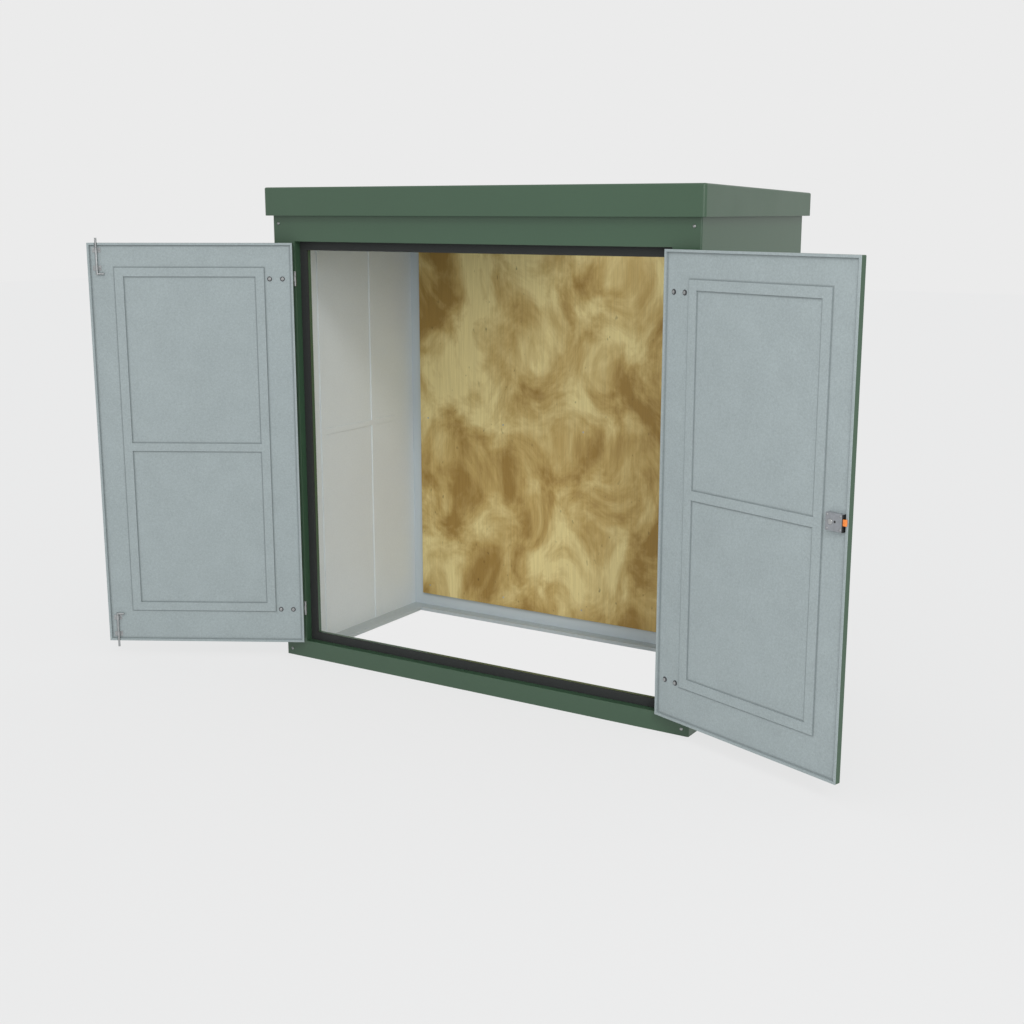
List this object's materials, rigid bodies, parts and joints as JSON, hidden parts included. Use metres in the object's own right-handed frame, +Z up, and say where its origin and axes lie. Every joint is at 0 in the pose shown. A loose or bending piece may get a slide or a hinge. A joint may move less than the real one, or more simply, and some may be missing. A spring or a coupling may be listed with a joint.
{
  "type": "fibreglass walk-in enclosure",
  "caption": "Walk-in fibreglass equipment enclosure with an open base, gasketed double doorway, hinged ribbed doors, shoot bolts, a lock and a plywood backboard.",
  "frame": {"origin": "centre of the body's footprint, on the ground, without the roof's overhang and the open doors", "axes": "+X to the right of someone facing the doorway, +Y from the front face to the back wall, +Z up"},
  "size_m": [3.3481, 1.4934, 2.069],
  "materials": {
    "green_gelcoat": "satin moulded gelcoat",
    "wall_gelcoat": "satin moulded gelcoat, green outside and light grey inside",
    "grey_gelcoat": "smooth grey flowcoat",
    "door_liner_gelcoat": "finely mottled grey flowcoat",
    "gasket_foam": "matt closed-cell foam",
    "plywood": "unfinished plywood with cloudy figure",
    "stainless_steel": "satin",
    "zinc_plate": "bright zinc plate",
    "lock_paint": "grey lacquer",
    "lock_faceplate_black": "black lacquer",
    "latch_orange": "moulded orange plastic"
  },
  "bodies": {
    "enclosure": {"left_wall": "wall_gelcoat", "right_wall": "wall_gelcoat", "back_wall": "wall_gelcoat", "left_jamb": "green_gelcoat", "right_jamb": "green_gelcoat", "front_header": "green_gelcoat", "front_sill": "green_gelcoat", "roof": "green_gelcoat", "left_gasket": "gasket_foam", "right_gasket": "gasket_foam", "top_gasket": "gasket_foam", "bottom_gasket": "gasket_foam", "left_base_flange": "grey_gelcoat", "right_base_flange": "grey_gelcoat", "back_base_flange": "grey_gelcoat", "front_base_flange": "grey_gelcoat", "left_wall_ribs": "grey_gelcoat", "right_wall_ribs": "grey_gelcoat", "backboard": "plywood", "left_frame_hinge_top": "stainless_steel", "left_frame_hinge_bottom": "stainless_steel", "right_frame_hinge_top": "stainless_steel", "right_frame_hinge_bottom": "stainless_steel"},
    "left_door": {"left_door_skin": "green_gelcoat", "left_door_liner": "door_liner_gelcoat", "left_door_ribs": "door_liner_gelcoat", "left_door_hinge_top": "stainless_steel", "left_door_hinge_bottom": "stainless_steel", "top_bolt_guides": "zinc_plate", "bottom_bolt_guides": "zinc_plate"},
    "right_door": {"right_door_skin": "green_gelcoat", "right_door_liner": "door_liner_gelcoat", "right_door_ribs": "door_liner_gelcoat", "right_door_hinge_top": "stainless_steel", "right_door_hinge_bottom": "stainless_steel", "lock_case": "lock_paint", "lock_faceplate": "lock_faceplate_black", "door_handle": "stainless_steel"},
    "top_bolt": {"top_bolt": "zinc_plate"},
    "bottom_bolt": {"bottom_bolt": "zinc_plate"},
    "latch": {"latch_tongue": "latch_orange"}
  },
  "joints": [
    {"name": "left_door_hinge", "type": "hinge", "parent": "enclosure", "child": "left_door", "pos_m": [-0.8825, -0.5, 0.96], "axis": [0, 0, 1], "range_deg": [-20, 150]},
    {"name": "right_door_hinge", "type": "hinge", "parent": "enclosure", "child": "right_door", "pos_m": [0.8825, -0.5, 0.96], "axis": [0, 0, 1], "range_deg": [-160, 10]},
    {"name": "top_bolt_slide", "type": "slide", "parent": "left_door", "child": "top_bolt", "axis": [0, 0, -1], "range_m": [0, 0.028]},
    {"name": "bottom_bolt_slide", "type": "slide", "parent": "left_door", "child": "bottom_bolt", "axis": [0, 0, 1], "range_m": [0, 0.028]},
    {"name": "latch_slide", "type": "slide", "parent": "right_door", "child": "latch", "axis": [0.9397, -0.342, 0], "range_m": [0, 0.015]}
  ]
}
